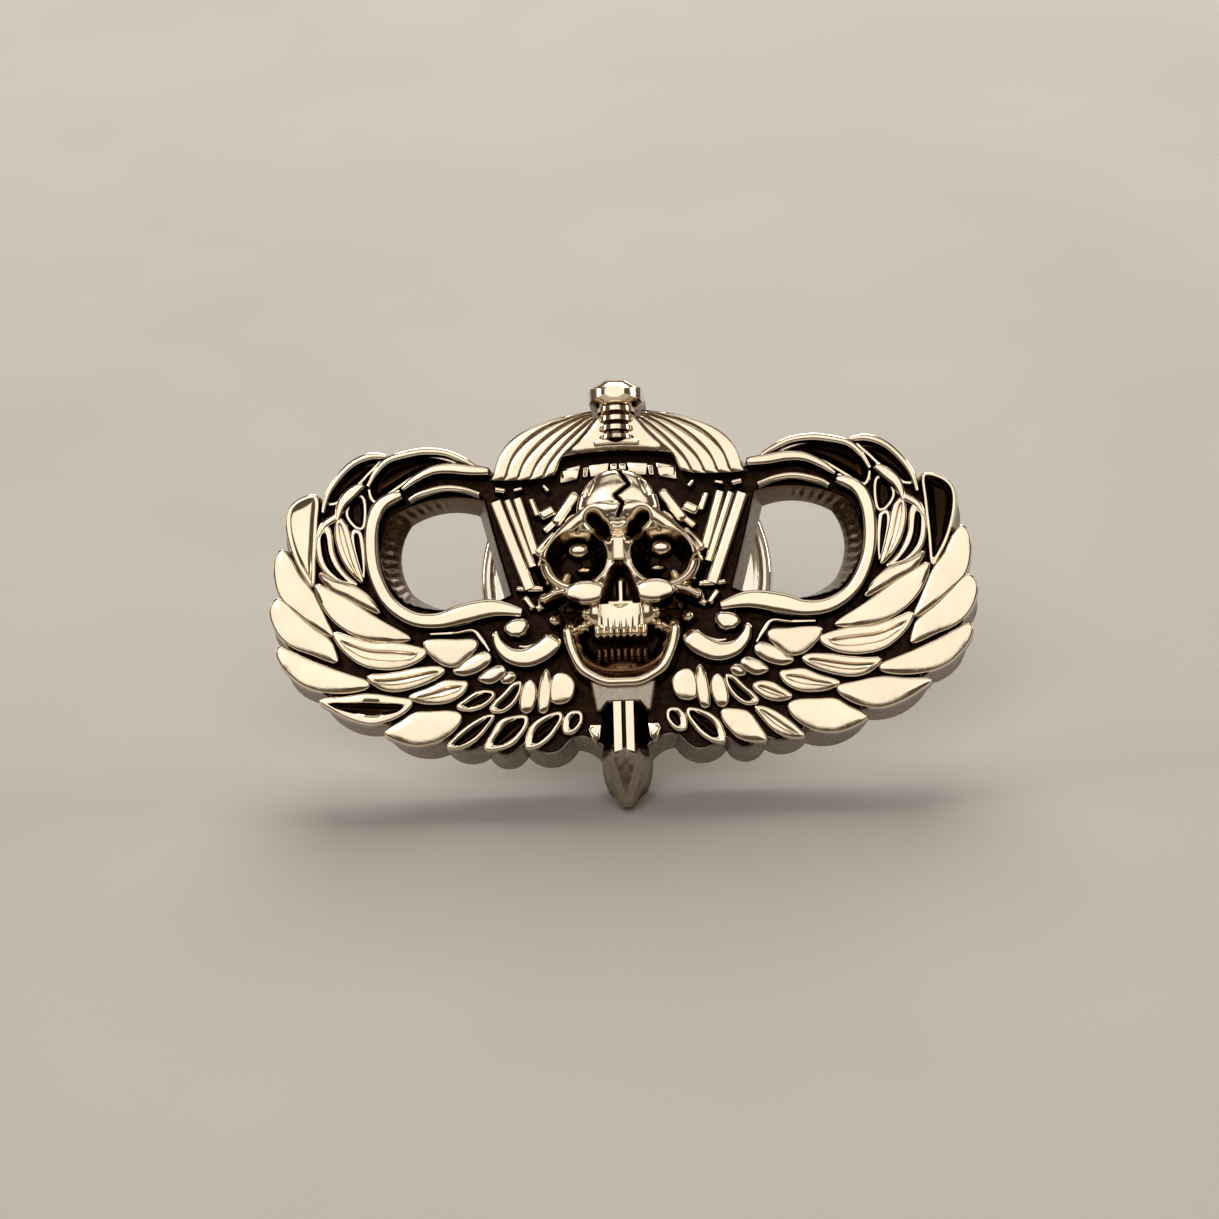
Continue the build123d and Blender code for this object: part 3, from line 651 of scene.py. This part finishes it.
def base_plate():
    """The casting under the relief: flat back, scalloped wall, recessed ground and two openings."""
    right = chain(EDGE_ARCS, 9) + [np.array(EDGE_ARCS[-1][2], float)]
    loop = right + [np.array((-p[0], p[1])) for p in reversed(right[1:-1])]
    marks = outward(loop)
    shell = Shell()
    rows = []
    for inset, h in WALL_RINGS:
        rows.append(shell.ring([spot(*(p - n * inset), h) for p, n in marks]))
    for low, high in zip(rows, rows[1:]):
        shell.bridge(low, high)
    loops_back, loops_front = [rows[0]], [rows[-1]]
    for flip in (1, -1):
        back = [p * (flip, 1) for p in chain(OPENING_BACK, OPENING_STEPS)]
        front = [p * (flip, 1) for p in chain(OPENING_FRONT, OPENING_STEPS)]
        edge = outward(front)
        walk = np.cumsum([0] + [float(np.linalg.norm(b - a)) for a, b in zip(front, front[1:])])
        rings = []
        for share, h, flute in OPENING_RINGS:
            points = []
            for i in range(len(back)):
                far = min(1.0, max(0.0, abs(front[i][0]) - FLUTES_START_X))
                wave = FLUTE_DEPTH * flute * far * math.sin(math.tau * walk[i] / FLUTE_PITCH)
                place = back[i] + (front[i] - back[i]) * share + edge[i][1] * wave
                points.append(spot(*place, h))
            rings.append(shell.ring(points))
        rings.append(shell.ring([spot(*(p + n * 0.08), FLOOR_H) for p, n in edge]))
        for low, high in zip(rings, rings[1:]):
            first = len(shell.faces)
            shell.bridge(low, high, look=3)
            # the side towards the parachute gets the outer wall's lighter painted shade
            for i in range(3 * OPENING_STEPS, 4 * OPENING_STEPS):
                shell.looks[first + i] = 0
        loops_back.append(rings[0])
        loops_front.append(rings[-1])
    looks = [wall_painted_shade, ground_painted_shade, back_metal, opening_painted_shade]
    made = shell.piece("plate_base", "body", "badge_plating", looks, sharp=30)
    fill_between(made, loops_back, loops_front, shell)
    return made


def fill_between(made, backs, fronts, shell):
    """Fills the back and the recessed ground between the outline and the openings."""
    mesh = made.data
    bm = bmesh.new()
    bm.from_mesh(mesh)
    bm.verts.ensure_lookup_table()
    where = {}
    for v in bm.verts:
        where[tuple(round(c / MM, 3) for c in v.co)] = v
    for loops, material in ((backs, 2), (fronts, 1)):
        edges = []
        for ring in loops:
            verts = [where[tuple(round(c / MM, 3) for c in Vector(shell.verts[i]))] for i in ring]
            for a, b in zip(verts, verts[1:] + verts[:1]):
                edge = bm.edges.get((a, b))
                if edge and edge not in edges:
                    edges.append(edge)
        filled = bmesh.ops.triangle_fill(bm, use_beauty=True, edges=edges)
        for face in filled["geom"]:
            if isinstance(face, bmesh.types.BMFace):
                face.material_index = material
    bmesh.ops.recalc_face_normals(bm, faces=bm.faces)
    bm.to_mesh(mesh)
    bm.free()
    mesh.set_sharp_from_angle(angle=math.radians(30))


def wing(side):
    """Every feather and the bead of one wing."""
    flip = side == "left"
    shell = Shell()
    for top, form, border in FEATHERS:
        forms = form.split("/")
        pad(shell, closed_curve(border, 6), top, forms[0] if flip else forms[-1], mirror=flip)
    pad(shell, BLADE_BEAD, 1.75, "pad", mirror=flip)
    return shell.piece(f"feathers_{side}", "body", "badge_plating", [relief_metal])


def rims(side):
    """The curved bands of one wing: rims of its curls, the scroll and the long rim of the opening."""
    flip = side == "left"
    shell = Shell()
    for crest, widths, points in BANDS:
        band(shell, points, widths, crest, mirror=flip)
    return shell.piece(f"rim_bands_{side}", "body", "badge_plating", [relief_metal])


def lines(side):
    """The parachute's straight suspension lines on one side, with their links."""
    flip = side == "left"
    shell = Shell()
    for top, foot, width, crest in LINES:
        points = [top, ((top[0] + foot[0]) / 2, (top[1] + foot[1]) / 2), foot]
        band(shell, points, [width] * 3, crest, mirror=flip)
    return shell.piece(f"suspension_lines_{side}", "body", "badge_plating", [relief_metal])


def canopy():
    """The parachute: gores fanning to a straight hem and a plain crown behind the grip."""
    shell = Shell()
    seams = [smooth_line(points, [0] * len(points), 6)[:, :2] for points in GORE_SEAMS]
    for flip in (False, True):
        for outer, inner in zip(seams, seams[1:]):
            pad(shell, np.vstack([outer, inner[::-1]]), 2.14, "gore", mirror=flip, grow=0.02)
    side = seams[-1][:-7]
    arch = arc(side[-1], (0, 5.62), side[-1] * (-1, 1), 16)[1:-1]
    crown = arc(side[0] * (-1, 1), (0, 7.3), side[0], 16)[1:-1]
    border = np.vstack([side, arch, (side * (-1, 1))[::-1], crown])
    pad(shell, border, 2.2, "gore", grow=0.02)
    return shell.piece("canopy", "body", "badge_plating", [relief_metal])


# Panels under the canopy's hem on the right half: x, z, half width, half height.
LINING_PANELS = [
    (0.78, 5.0, 0.36, 0.2),
    (1.3, 4.93, 0.07, 0.16),
    (1.95, 4.86, 0.36, 0.24),
    (0.18, 5.05, 0.1, 0.15),
]


def lining():
    """Panels of the canopy's inner side, seen under its front hem."""
    shell = Shell()
    for side in (-1, 1):
        for x, z, half_width, half_height in LINING_PANELS:
            slope = -0.11 * x
            corners = []
            for a, b in ((-1, 1), (1, 1), (0.75, -1), (-0.9, -1)):
                along, up = a * half_width, b * half_height
                corners.append((side * (x + along + up * slope), z + up + along * slope))
            pad(shell, corners, 1.5, "pad", grow=0.05)
    return shell.piece("canopy_lining", "body", "badge_plating", [relief_metal])


# ---------------------------------------------------------------- skull and dagger


def dome(x, z, cx, cz, rx, rz, low, rise, power=0.5):
    """An elliptic dome; a power under a half flattens its top and steepens its sides."""
    q = 1 - ((x - cx) / rx) ** 2 - ((z - cz) / rz) ** 2
    return low + rise * np.where(q > 0, np.maximum(q, 0) ** power, 1.6 * q)


def soft_max(a, b, blend):
    """The higher of two surfaces, rounded where they meet."""
    return np.maximum(a, b) + np.maximum(blend - abs(a - b), 0) ** 2 / (4 * blend)


def soft_min(a, b, blend):
    """The lower of two surfaces, rounded where they meet."""
    return -soft_max(-a, -b, blend)


def to_path(x, z, path):
    """Distance from each grid point to a polyline."""
    best = np.full_like(x, 99.0)
    for (ax, az), (bx, bz) in zip(path, path[1:]):
        t = ((x - ax) * (bx - ax) + (z - az) * (bz - az)) / ((bx - ax) ** 2 + (bz - az) ** 2)
        t = np.clip(t, 0, 1)
        best = np.minimum(best, np.hypot(x - ax - t * (bx - ax), z - az - t * (bz - az)))
    return best


# Paths on the right half of the skull, and the crack over both halves.
CRACK = [(0.1, 4.65), (0.47, 4.05), (-0.08, 3.62), (0.22, 3.28), (0.02, 2.8)]
# Hollows over the inner ends of the sockets, creases over the nose and marks on the temples: path, depth,
# width.
FURROWS = [
    ([(0.85, 1.9), (0.62, 2.35), (0.98, 2.78)], 1.0, 0.2),
    ([(0.4, 1.95), (0.55, 2.5)], 0.35, 0.1),
    ([(0.0, 2.1), (0.35, 2.2)], 0.3, 0.13),
    ([(0.0, 2.55), (0.2, 2.6)], 0.12, 0.16),
    ([(1.0, 4.25), (1.22, 3.75)], 0.14, 0.1),
]
BROW = [(0.1, 3.12), (0.85, 3.12), (1.6, 2.72), (2.3, 2.12), (2.85, 1.4)]
CHIN = [(0, -3.62), (0.6, -3.6), (1.1, -3.4), (1.6, -3.02), (1.95, -2.3), (2.1, -1.6)]
JAW = [(2.05, -1.2), (1.9, -1.95), (1.45, -2.7), (0.75, -3.1), (0, -3.2)]
TOOTH_W = 0.26


def block(x, z, half, low, high, top, steep=7.0):
    """A flat-topped block between two heights of z, with steep sides; half may vary with z."""
    return top - steep * np.maximum(np.maximum(abs(x) - half, np.maximum(low - z, z - high)), 0)


def ridge(x, z, path, top, width):
    """A rounded ridge along a smooth line through the path's points."""
    away = to_path(x, z, smooth_line(path, [0] * len(path), 6)[:, :2])
    return top - 0.45 * (away / width) ** 2


def strap(x, z, path, top, half):
    """A nearly flat band along a smooth line through the path's points, with steep edges."""
    away = to_path(x, z, smooth_line(path, [0] * len(path), 6)[:, :2])
    return top - 0.06 * (away / half) ** 2 - 5.0 * np.maximum(away - half, 0)


def teeth(x, z, middle, half_height, foot, count):
    """A row of teeth with rounded crowns, count to each side of the middle."""
    across = ((x / TOOTH_W) % 1 - 0.5) * 2
    q = 1 - abs(across / 0.94) ** 3 - abs((z - middle) / half_height) ** 4
    crown = foot + 0.34 * np.maximum(q, 0) ** 0.35 + np.minimum(q, 0)
    return np.where(abs(x) < count * TOOTH_W, crown, 0)


def cracked(x, z):
    """1 along the crack in the forehead, falling to 0 beside it."""
    return np.exp(-((to_path(x, z, CRACK) / 0.06) ** 2))


def skull_height(x, z):
    """Height of the skull over the casting's back at each place, in mm."""
    side = abs(x)
    h = dome(x, z, 0, 2.95, 1.66, 1.85, 1.6, 1.5, 0.12)
    h = soft_max(h, dome(side, z, 1.45, 2.35, 0.9, 1.0, 1.5, 1.05), 0.3)
    h = soft_max(h, dome(x, z, 0, 0.7, 1.5, 2.3, 1.5, 1.25), 0.25)
    # brows sweep down and out from the forehead over sockets with raised lips
    socket = np.hypot((side - 1.66) / 1.2, (z - 1.25) / 1.05)
    h = soft_max(h, 2.7 - 6.0 * (socket - 1.06) ** 2 - 0.14 * side, 0.1)
    h = soft_max(h, strap(side, z, BROW, 3.2 - 0.16 * side, 0.24), 0.06)
    h = soft_min(h, 1.3 + 1.4 * socket**4, 0.1)
    for path, depth, width in FURROWS:
        h = h - depth * np.exp(-((to_path(side, z, path) / width) ** 2))
    # what is left in the sockets: a patch, a ball and a curl
    h = soft_max(h, dome(side, z, 1.62, 1.72, 0.42, 0.32, 1.4, 0.6, 0.14), 0.05)
    h = soft_max(h, dome(side, z, 2.1, 0.68, 0.24, 0.24, 1.5, 0.5), 0.05)
    h = soft_max(h, dome(side, z, 1.45, 0.95, 0.34, 0.16, 1.4, 0.35), 0.05)
    # cheek bones, their arches and the joint of the jaw with its beads
    h = soft_max(h, dome(side, z, 1.34, -0.12, 0.8, 0.46, 2.3, 0.5, 0.07), 0.04)
    h = soft_max(h, ridge(side, z, [(1.7, 0.02), (2.4, 0.02), (3.05, -0.25)], 2.3, 0.26), 0.08)
    h = soft_max(h, dome(side, z, 2.0, -0.8, 0.6, 0.5, 1.7, 0.85), 0.06)
    h = soft_max(h, dome(side, z, 2.62, -1.08, 0.28, 0.24, 1.6, 0.6, 0.3), 0.04)
    h = soft_max(h, dome(side, z, 1.42, -0.88, 0.2, 0.26, 1.7, 0.75, 0.3), 0.04)
    h = soft_max(h, dome(side, z, 1.5, -1.4, 0.3, 0.3, 1.7, 0.6), 0.06)
    # upper jaw with the crowns of its teeth
    h = soft_max(h, dome(side, z, 0.98, -0.85, 0.46, 0.62, 1.95, 0.5), 0.06)
    gum = block(x, z, 0.86 - 0.12 * (z + 1.1), -1.62, -0.84 + 0.5 * side, 2.95 - 0.2 * side**2, 5.0)
    groove = (0.5 + 0.5 * np.cos(math.tau * x / TOOTH_W)) ** 6
    h = soft_max(h, gum - 0.06 * groove * np.clip((-1.1 - z) / 0.5, 0, 1), 0.08)
    h = soft_max(h, teeth(x, z, -1.68, 0.3, 2.6 - 0.12 * side**2, 4), 0.03)
    # nasal bone, the pear-shaped opening and its thin wall
    pear_half = np.sqrt(np.clip((0.98 - z) / 1.48, 0, 1)) * 0.66
    pear = np.maximum(side - pear_half, np.maximum(-0.5 - z, z - 0.98))
    h = soft_min(h, np.where(pear < 0, 1.6 - 0.3 * pear, 1.6 + 9 * pear), 0.06)
    h = soft_max(h, block(x, z, 0.21, 1.08, 1.95, 3.05, 6.0), 0.06)
    h = np.maximum(h, block(x, z, 0.07, -0.5, 0.32, 2.4))
    h = np.maximum(h, block(x, z, 0.5 + 0.6 * (z + 0.5), -0.85, -0.45, 2.4))
    # lower jaw: a set-back row of teeth, branches up to the joint, chin
    h = soft_max(h, ridge(side, z, JAW, 2.1, 0.36), 0.1)
    h = soft_max(h, teeth(x, z, -2.5, 0.3, 1.9 - 0.16 * side**2, 4), 0.03)
    h = soft_max(h, dome(x, z, 0, -3.05, 1.1, 0.45, 1.6, 0.5), 0.1)
    h = soft_max(h, strap(side, z, CHIN, 2.42, 0.17), 0.03)
    return h - 0.26 * cracked(x, z)


def blurred(grid, cells):
    """The grid averaged over a square window of the given half-width, twice."""
    window = np.ones(2 * cells + 1) / (2 * cells + 1)
    for _ in range(2):
        grid = np.pad(grid, cells, mode="edge")
        grid = np.apply_along_axis(np.convolve, 0, grid, window, "valid")
        grid = np.apply_along_axis(np.convolve, 1, grid, window, "valid")
    return grid


def skull():
    """The skull as a fine height sheet whose skirt dips under the ground of the casting."""
    step = 0.036
    gx, gz = np.meshgrid(np.arange(-3.35, 3.36, step), np.arange(-3.9, 4.95, step))
    h = skull_height(gx, gz)
    low = FLOOR_H - 0.3
    # Painted shade darkens the hollows below the blurred surface, the low ground, the mouth round the teeth
    # and the crack; the jaw-joint domes are painted dark grey in place of their dark reflection.
    hollow = blurred(h, 9) - h
    painted_dark = np.clip(np.maximum((hollow - 0.1) / 0.32, (1.75 - h) / 0.3), 0, 1)
    mouth = np.clip(2.0 - 1.4 * np.hypot(gx / 1.5, (gz + 2.6) / 0.75), 0, 0.55)
    joints = np.clip(2.0 - 1.6 * np.hypot((abs(gx) - 2.0) / 0.6, (gz + 0.8) / 0.5), 0, 0.8)
    painted_darkening = np.maximum(mouth * (h < 2.28), joints * (abs(gx) > 1.56))
    painted_dark = np.maximum(np.maximum(painted_dark, painted_darkening), cracked(gx, gz))
    keep = h > FLOOR_H - 0.25
    grown = keep.copy()
    grown[1:] |= keep[:-1]
    grown[:-1] |= keep[1:]
    grown[:, 1:] |= keep[:, :-1]
    grown[:, :-1] |= keep[:, 1:]
    shell = Shell()
    index = -np.ones(h.shape, int)
    places = list(zip(*np.nonzero(grown)))
    for number, (r, c) in enumerate(places):
        index[r, c] = number
    spots = [spot(gx[r, c], gz[r, c], max(h[r, c], low)) for r, c in places]
    shell.ring(spots, [painted_dark[r, c] for r, c in places])
    for r in range(h.shape[0] - 1):
        for c in range(h.shape[1] - 1):
            four = (index[r, c], index[r, c + 1], index[r + 1, c + 1], index[r + 1, c])
            if min(four) >= 0:
                shell.face(four)
    return shell.piece("skull", "body", "relief_plating", [skull_metal], sharp=75, merge=0.0005)


# The ringed grip from under the pommel down to the guard: z, radius.
GRIP_PROFILE = [
    (7.6, 0.5), (7.44, 0.72), (7.38, 0.6), (7.32, 0.72), (7.14, 0.74), (7.08, 0.58), (7.0, 0.56),
    (6.94, 0.7), (6.76, 0.72), (6.7, 0.56), (6.62, 0.54), (6.56, 0.7), (6.38, 0.72), (6.32, 0.54),
    (6.24, 0.54), (6.18, 0.72), (6.02, 0.76), (5.96, 0.6), (5.82, 0.4),
]


def dagger():
    """Faceted pommel, ringed grip and guard of the dagger behind the skull, and its fullered blade."""
    shell = Shell()
    rings = []
    # the pommel's foot ring carries half painted shade
    for grow, h in ((1.0, 0.9), (1.0, 1.75), (0.93, 2.2), (0.66, 2.6), (0.36, 2.78)):
        rings.append(shell.ring([
            spot(1.16 * grow * math.cos(t), 7.86 + 0.7 * grow * math.sin(t), h)
            for t in [math.tau * (k + 0.5) / 8 for k in range(8)]
        ], 0.5 if h < 1 else 0))
    shell.tube(rings)

    rows = []
    for z, r in GRIP_PROFILE:
        points = []
        for k in range(28):
            t = math.tau * k / 28
            # the front of the round grip stands on straight sides
            h = 1.95 + 1.05 * r * math.sin(t) if math.sin(t) > -0.2 else 1.0
            points.append(spot(r * math.cos(t), z, h))
        # painted shade darkens the narrow grooves between the grip's rings
        rows.append(shell.ring(points, min(1.0, max(0.0, (0.68 - r) * 4))))
    shell.tube(rows)
    guard = [(-0.95, 5.86), (-0.5, 5.93), (0, 5.96), (0.5, 5.93), (0.95, 5.86)]
    band(shell, guard, [0.16, 0.24, 0.28, 0.24, 0.16], 2.45, base=1.1)

    # section of the fullered blade: share of its half width, height, painted shade (dark at the sides and
    # in the fuller)
    half = 0.9
    across = [
        (-1, 1.0, 1), (-1, 1.3, 0.9), (-0.62, 1.75, 0.8), (-0.46, 2.2, 0.4), (-0.43, 2.34, 0),
        (-0.1, 2.36, 0), (-0.06, 2.3, 0.3), (-0.04, 2.0, 1),
    ]
    across += [(-share, h, painted_dark) for share, h, painted_dark in reversed(across)]
    rows = []
    for z in (-4.4, -4.6, -6.3, -6.5):
        rise = 0.24 if z < -6.2 else 0
        places = [spot(share * half, z + rise * (1 - abs(share)), h) for share, h, _ in across]
        rows.append(shell.ring(places, [painted_dark for *_, painted_dark in across]))
    shell.tube(rows)
    return shell.piece("dagger", "body", "relief_plating", [dagger_metal], sharp=25)


# The blade's point, with a flat lozenge on its ridge and two facets each side: z, half width, half width of
# the lozenge, height of the ridge.
POINT_SECTIONS = [
    (-6.2, 0.9, 0.02, 2.3),
    (-6.5, 0.93, 0.42, 2.26),
    (-6.85, 0.9, 0.36, 2.2),
    (-7.4, 0.74, 0.2, 2.05),
    (-7.9, 0.52, 0.05, 1.88),
    (-8.25, 0.32, 0.03, 1.7),
    (-8.42, 0.2, 0.03, 1.5),
]


def dagger_steel():
    """The dull parts of the dagger: its ricasso under the chin and the faceted point of the blade."""
    shell = Shell()
    ricasso = [
        (-1.28, -3.55), (1.28, -3.55), (1.24, -4.0), (1.08, -4.75), (0.86, -4.75),
        (0.6, -4.42), (-0.6, -4.42), (-0.86, -4.75), (-1.08, -4.75), (-1.24, -4.0),
    ]
    marks = outward(ricasso)
    shell.tube([
        shell.ring([spot(*(p - n * inset), h) for p, n in marks])
        for inset, h in ((0.0, 0.9), (0.0, 1.9), (0.05, 2.04), (0.12, 2.1))
    ])

    rows = []
    for z, half, lozenge, top in POINT_SECTIONS:
        middle = (half + lozenge) / 2 + 0.05
        across = [(half, 0.95), (half, 1.3), (middle, 1.3 + (top - 1.3) * 0.62), (lozenge, top)]
        left = [spot(-x, z, h) for x, h in across]
        rows.append(shell.ring(left + [spot(x, z, h) for x, h in reversed(across)]))
    shell.tube(rows)
    return shell.piece("dagger_steel", "body", "relief_plating", [steel_metal], sharp=12)


# ---------------------------------------------------------------- camera, floor and light


CLUTCH_NODES = ["clutch_disc", "clutch_cap", "clutch_lever_left", "clutch_lever_right"]


def lowest(name, up):
    """How far the CAD node reaches down along the given up direction."""
    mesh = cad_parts[name].data
    spots = np.empty(len(mesh.vertices) * 3)
    mesh.vertices.foreach_get("co", spots)
    return float((spots.reshape(-1, 3) @ np.array(up)).min())


def floor_up():
    """The floor's normal when it touches both the clutch and the tip of the applied blade."""
    steep, shallow = math.radians(75), math.radians(30)
    for _ in range(24):
        lean = (steep + shallow) / 2
        up = Vector((0, -math.cos(lean), math.sin(lean)))
        if min(lowest(name, up) for name in CLUTCH_NODES) < lowest("skull_dagger_applique", up):
            shallow = lean
        else:
            steep = lean
    return up


def floor_paper():
    """A pale matt paper that is clear from behind, so that it hides nothing seen from there."""
    material = bpy.data.materials.new("floor_paper")
    material.use_nodes = True
    tree = material.node_tree
    shader = tree.nodes["Principled BSDF"]
    shader.inputs["Roughness"].default_value = 0.85
    place = node(tree, "ShaderNodeTexCoord").outputs["Object"]
    mottle = node(tree, "ShaderNodeTexNoise")
    mottle.inputs["Scale"].default_value = 60
    tree.links.new(place, mottle.inputs["Vector"])
    tone = ramp_node(tree, [(0.0, (0.44, 0.415, 0.38)), (1.0, (0.52, 0.495, 0.46))])
    tree.links.new(mottle.outputs["Fac"], tone.inputs["Fac"])
    tree.links.new(tone.outputs["Color"], shader.inputs["Base Color"])
    facing = node(tree, "ShaderNodeNewGeometry")
    clear = node(tree, "ShaderNodeBsdfTransparent")
    choose = node(tree, "ShaderNodeMixShader")
    tree.links.new(facing.outputs["Backfacing"], choose.inputs["Fac"])
    tree.links.new(shader.outputs["BSDF"], choose.inputs[1])
    tree.links.new(clear.outputs["BSDF"], choose.inputs[2])
    tree.links.new(choose.outputs["Shader"], tree.nodes["Material Output"].inputs["Surface"])
    return material


def softbox(name, direction, size, watts, tint=(1, 0.97, 0.92)):
    """A rectangular lamp half a metre from the badge, facing it."""
    light = bpy.data.lights.new(name, "AREA")
    light.shape = "RECTANGLE"
    light.size, light.size_y = size
    light.energy = watts
    light.color = tint
    lamp = bpy.data.objects.new(name, light)
    direction = Vector(direction).normalized()
    lamp.location = direction * 0.5
    lamp.rotation_mode = "QUATERNION"
    lamp.rotation_quaternion = direction.to_track_quat("Z", "Y")
    bpy.context.scene.collection.objects.link(lamp)


def studio():
    """A pale floor under the leaning badge, one large soft light in front and others round it."""
    up = floor_up()
    level = min(lowest(name, up) for name in CLUTCH_NODES) - 0.02 * MM
    across = Vector((1, 0, 0))
    away = across.cross(up)
    half = 0.6
    ground = bpy.data.meshes.new("floor")
    corners = []
    for a, b in ((-1, -1), (1, -1), (1, 1), (-1, 1)):
        corners.append(up * level + across * (a * half) + away * (b * half))
    ground.from_pydata([tuple(p) for p in corners], [], [(0, 1, 2, 3)])
    ground.update()
    if ground.polygons[0].normal.dot(up) < 0:
        ground.flip_normals()
    floor = bpy.data.objects.new("floor", ground)
    bpy.context.scene.collection.objects.link(floor)
    ground.materials.append(floor_paper())

    softbox("key", (-0.06, -1.0, 0.24), (0.66, 0.34), 0.78)
    softbox("high", (0.05, -0.7, 0.85), (0.4, 0.16), 0.16)
    softbox("spark", (-0.3, -1.0, 0.42), (0.06, 0.06), 0.1, (1, 1, 1))
    softbox("top", (0.0, 0.1, 1.0), (0.34, 0.26), 2.4)
    softbox("left", (-1.0, -0.15, 0.5), (0.1, 0.3), 0.45, (1, 0.9, 0.78))
    softbox("right", (1.0, -0.1, 0.5), (0.1, 0.3), 0.45, (1, 0.93, 0.84))
    softbox("rear", (0.3, 1.0, 0.6), (0.25, 0.25), 0.7)

    world = bpy.data.worlds.new("studio")
    bpy.context.scene.world = world
    world.use_nodes = True
    sky = world.node_tree.nodes["Background"]
    sky.inputs["Color"].default_value = (0.2, 0.15, 0.11, 1)
    sky.inputs["Strength"].default_value = 0.45
    bpy.context.scene.view_settings.view_transform = "Standard"


# The view: where the camera stands round the badge (degrees), how far (mm), and how wide the square
# picture is at the badge (mm).
VIEW_AZIMUTH = 3
VIEW_ELEVATION = -10
VIEW_ROLL = -1.5
VIEW_DISTANCE = 112
VIEW_WIDTH = 47.8
# Where the badge's middle stands in the picture, right of and above the picture's middle.
VIEW_OFFSET = (0.45, 0.69)
SENSOR_WIDTH = 36


def camera():
    """The photograph's view: from a little below and right of the badge's front, slightly rolled."""
    azimuth, elevation = math.radians(VIEW_AZIMUTH), math.radians(VIEW_ELEVATION)
    back = Vector((
        math.sin(azimuth) * math.cos(elevation),
        -math.cos(azimuth) * math.cos(elevation),
        math.sin(elevation),
    ))
    lens_data = bpy.data.cameras.new("camera")
    lens_data.sensor_width = SENSOR_WIDTH
    lens_data.lens = SENSOR_WIDTH * VIEW_DISTANCE / VIEW_WIDTH
    lens_data.clip_start, lens_data.clip_end = 0.002, 5
    eye = bpy.data.objects.new("camera", lens_data)
    eye.rotation_mode = "QUATERNION"
    look = (-back).to_track_quat("-Z", "Y")
    eye.rotation_quaternion = look @ Matrix.Rotation(math.radians(VIEW_ROLL), 3, "Z").to_quaternion()
    across = eye.rotation_quaternion @ Vector((1, 0, 0))
    above = eye.rotation_quaternion @ Vector((0, 1, 0))
    shift = (above * -VIEW_OFFSET[1] - across * VIEW_OFFSET[0]) * MM
    eye.location = spot(0, 0, 1.8) + back * VIEW_DISTANCE * MM + shift
    bpy.context.scene.collection.objects.link(eye)
    bpy.context.scene.camera = eye


# ---------------------------------------------------------------- put it together

plate_pieces = [base_plate(), canopy(), lining()]
for side in ("left", "right"):
    plate_pieces += [wing(side), rims(side), lines(side)]
for piece in plate_pieces:
    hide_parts("wings_canopy_plate")
for piece in (skull(), dagger(), dagger_steel()):
    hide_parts("skull_dagger_applique")

CAD_MATERIALS = {
    "post_pad": post_metal,
    "post_pin": post_metal,
    "pad_braze": braze_metal,
    "clutch_disc": clutch_metal,
    "clutch_cap": clutch_metal,
    "clutch_spring": spring_metal,
    "clutch_lever_left": lever_metal,
    "clutch_lever_right": lever_metal,
}
for name, material in CAD_MATERIALS.items():
    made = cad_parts[name]
    made.data.materials.clear()
    made.data.materials.append(material)

studio()
camera()
